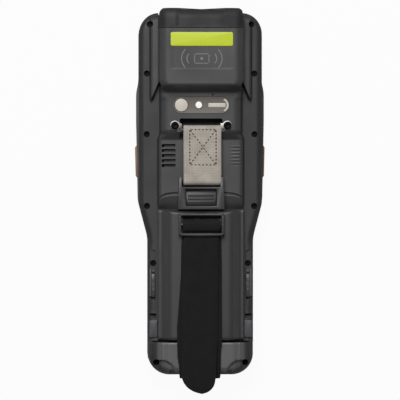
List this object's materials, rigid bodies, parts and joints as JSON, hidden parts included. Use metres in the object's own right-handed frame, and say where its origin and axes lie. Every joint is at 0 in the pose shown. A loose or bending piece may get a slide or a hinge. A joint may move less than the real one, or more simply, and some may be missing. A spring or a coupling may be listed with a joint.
{
  "type": "portable barcode data terminal",
  "caption": "Rugged handheld terminal lying on its screen: keypad, scanner head, camera, hinged battery cover with hand strap, side triggers and socket flap.",
  "frame": {"origin": "centre of the bridge between screen and keypad, on the front face that the terminal lies on", "axes": "+Z out of the back, +Y to the scanner head, +X to the right seen from the back"},
  "size_m": [0.0728, 0.2168, 0.0362],
  "materials": {
    "front_shell": "moulded, fine texture",
    "rear_shell": "moulded, fine texture",
    "cover_shell": "moulded, fine texture",
    "heel_shell": "moulded, fine texture",
    "buckle_plastic": "moulded",
    "catch_plastic": "moulded",
    "black_plastic": "moulded",
    "trigger_plastic": "moulded",
    "scan_key_rubber": "matt",
    "function_key_rubber": "matt",
    "number_key_rubber": "matt",
    "silicone": "matt",
    "seal_rubber": "matt",
    "cover_glass": "polished",
    "scan_glass": "polished",
    "lens_window": "polished",
    "panel": "smooth",
    "board": "lacquered",
    "engine": "moulded",
    "battery_wrap": "film wrapped",
    "gold_contact": "gold plated",
    "plated_steel": "plated",
    "bar_steel": "ground",
    "screw_steel": "black oxide",
    "camera_barrel": "moulded",
    "lamp_white": "smooth",
    "copper_coil": "enamelled copper",
    "yellow_film": "printed film",
    "grey_webbing": "woven",
    "black_webbing": "woven"
  },
  "bodies": {
    "root": {"front_case": "front_shell", "rear_case": "rear_shell", "head_cap": "rear_shell", "scan_window": "scan_glass", "scan_engine": "engine", "display_glass": "cover_glass", "display_panel": "panel", "main_board": "board", "shield_cans": "plated_steel", "key_membrane": "silicone", "case_gasket": "seal_rubber", "earpiece": "black_plastic", "battery_pack": "battery_wrap", "battery_contacts": "gold_contact", "camera_window": "lens_window", "camera_module": "camera_barrel", "flash_lamp": "lamp_white", "light_bar": "lamp_white", "loudspeaker": "black_plastic", "antenna_coil": "copper_coil", "strap_bar": "bar_steel", "bar_screws": "bar_steel", "case_screws": "screw_steel", "sticker": "yellow_film", "heel_cap": "heel_shell", "dock_contacts": "gold_contact", "data_socket": "plated_steel", "flap_pin": "bar_steel", "side_catches": "catch_plastic", "trigger_switches": "plated_steel", "clasp_frame": "buckle_plastic", "webbing_tab": "grey_webbing", "strap_foot": "black_webbing", "tail_tip": "black_webbing"},
    "battery_cover": {"battery_cover": "cover_shell", "cover_seal": "seal_rubber", "strap_frame": "buckle_plastic", "strap_base": "black_webbing", "strap_tail": "black_webbing"},
    "release_pad": {"release_pad": "buckle_plastic"},
    "socket_flap": {"socket_flap": "seal_rubber"},
    "trigger_left": {"trigger_left": "trigger_plastic"},
    "trigger_right": {"trigger_right": "trigger_plastic"},
    "scan_key": {"scan_key": "scan_key_rubber"},
    "function_key_1": {"function_key_1": "function_key_rubber"},
    "function_key_2": {"function_key_2": "function_key_rubber"},
    "function_key_3": {"function_key_3": "function_key_rubber"},
    "function_key_4": {"function_key_4": "function_key_rubber"},
    "number_key_1": {"number_key_1": "number_key_rubber"},
    "number_key_2": {"number_key_2": "number_key_rubber"},
    "number_key_3": {"number_key_3": "number_key_rubber"},
    "number_key_4": {"number_key_4": "number_key_rubber"},
    "number_key_5": {"number_key_5": "number_key_rubber"},
    "number_key_6": {"number_key_6": "number_key_rubber"},
    "number_key_7": {"number_key_7": "number_key_rubber"},
    "number_key_8": {"number_key_8": "number_key_rubber"},
    "number_key_9": {"number_key_9": "number_key_rubber"},
    "number_key_10": {"number_key_10": "number_key_rubber"},
    "number_key_11": {"number_key_11": "number_key_rubber"},
    "number_key_12": {"number_key_12": "number_key_rubber"}
  },
  "joints": [
    {"name": "cover_hinge", "type": "hinge", "parent": "root", "child": "battery_cover", "pos_m": [0, -0.0833, 0.0274], "axis": [1, 0, 0], "range_deg": [0, 70]},
    {"name": "release_slide", "type": "slide", "parent": "root", "child": "release_pad", "axis": [0, 1, 0], "range_m": [0, 0.0012], "stiffness_N_per_m": 900, "springref_m": -0.001},
    {"name": "flap_hinge", "type": "hinge", "parent": "root", "child": "socket_flap", "pos_m": [0, -0.10175, 0.0087], "axis": [-1, 0, 0], "range_deg": [0, 110]},
    {"name": "trigger_left_press", "type": "slide", "parent": "root", "child": "trigger_left", "axis": [1, 0, 0], "range_m": [0, 0.0006], "stiffness_N_per_m": 2500, "springref_m": -0.0004},
    {"name": "trigger_right_press", "type": "slide", "parent": "root", "child": "trigger_right", "axis": [-1, 0, 0], "range_m": [0, 0.0006], "stiffness_N_per_m": 2500, "springref_m": -0.0004},
    {"name": "scan_key_press", "type": "slide", "parent": "root", "child": "scan_key", "axis": [0, 0, 1], "range_m": [0, 0.0007], "stiffness_N_per_m": 2500, "springref_m": -0.0004},
    {"name": "function_key_1_press", "type": "slide", "parent": "root", "child": "function_key_1", "axis": [0, 0, 1], "range_m": [0, 0.0007], "stiffness_N_per_m": 2000, "springref_m": -0.0004},
    {"name": "function_key_2_press", "type": "slide", "parent": "root", "child": "function_key_2", "axis": [0, 0, 1], "range_m": [0, 0.0007], "stiffness_N_per_m": 2000, "springref_m": -0.0004},
    {"name": "function_key_3_press", "type": "slide", "parent": "root", "child": "function_key_3", "axis": [0, 0, 1], "range_m": [0, 0.0007], "stiffness_N_per_m": 2000, "springref_m": -0.0004},
    {"name": "function_key_4_press", "type": "slide", "parent": "root", "child": "function_key_4", "axis": [0, 0, 1], "range_m": [0, 0.0007], "stiffness_N_per_m": 2000, "springref_m": -0.0004},
    {"name": "number_key_1_press", "type": "slide", "parent": "root", "child": "number_key_1", "axis": [0, 0, 1], "range_m": [0, 0.0007], "stiffness_N_per_m": 2000, "springref_m": -0.0004},
    {"name": "number_key_2_press", "type": "slide", "parent": "root", "child": "number_key_2", "axis": [0, 0, 1], "range_m": [0, 0.0007], "stiffness_N_per_m": 2000, "springref_m": -0.0004},
    {"name": "number_key_3_press", "type": "slide", "parent": "root", "child": "number_key_3", "axis": [0, 0, 1], "range_m": [0, 0.0007], "stiffness_N_per_m": 2000, "springref_m": -0.0004},
    {"name": "number_key_4_press", "type": "slide", "parent": "root", "child": "number_key_4", "axis": [0, 0, 1], "range_m": [0, 0.0007], "stiffness_N_per_m": 2000, "springref_m": -0.0004},
    {"name": "number_key_5_press", "type": "slide", "parent": "root", "child": "number_key_5", "axis": [0, 0, 1], "range_m": [0, 0.0007], "stiffness_N_per_m": 2000, "springref_m": -0.0004},
    {"name": "number_key_6_press", "type": "slide", "parent": "root", "child": "number_key_6", "axis": [0, 0, 1], "range_m": [0, 0.0007], "stiffness_N_per_m": 2000, "springref_m": -0.0004},
    {"name": "number_key_7_press", "type": "slide", "parent": "root", "child": "number_key_7", "axis": [0, 0, 1], "range_m": [0, 0.0007], "stiffness_N_per_m": 2000, "springref_m": -0.0004},
    {"name": "number_key_8_press", "type": "slide", "parent": "root", "child": "number_key_8", "axis": [0, 0, 1], "range_m": [0, 0.0007], "stiffness_N_per_m": 2000, "springref_m": -0.0004},
    {"name": "number_key_9_press", "type": "slide", "parent": "root", "child": "number_key_9", "axis": [0, 0, 1], "range_m": [0, 0.0007], "stiffness_N_per_m": 2000, "springref_m": -0.0004},
    {"name": "number_key_10_press", "type": "slide", "parent": "root", "child": "number_key_10", "axis": [0, 0, 1], "range_m": [0, 0.0007], "stiffness_N_per_m": 2000, "springref_m": -0.0004},
    {"name": "number_key_11_press", "type": "slide", "parent": "root", "child": "number_key_11", "axis": [0, 0, 1], "range_m": [0, 0.0007], "stiffness_N_per_m": 2000, "springref_m": -0.0004},
    {"name": "number_key_12_press", "type": "slide", "parent": "root", "child": "number_key_12", "axis": [0, 0, 1], "range_m": [0, 0.0007], "stiffness_N_per_m": 2000, "springref_m": -0.0004}
  ]
}
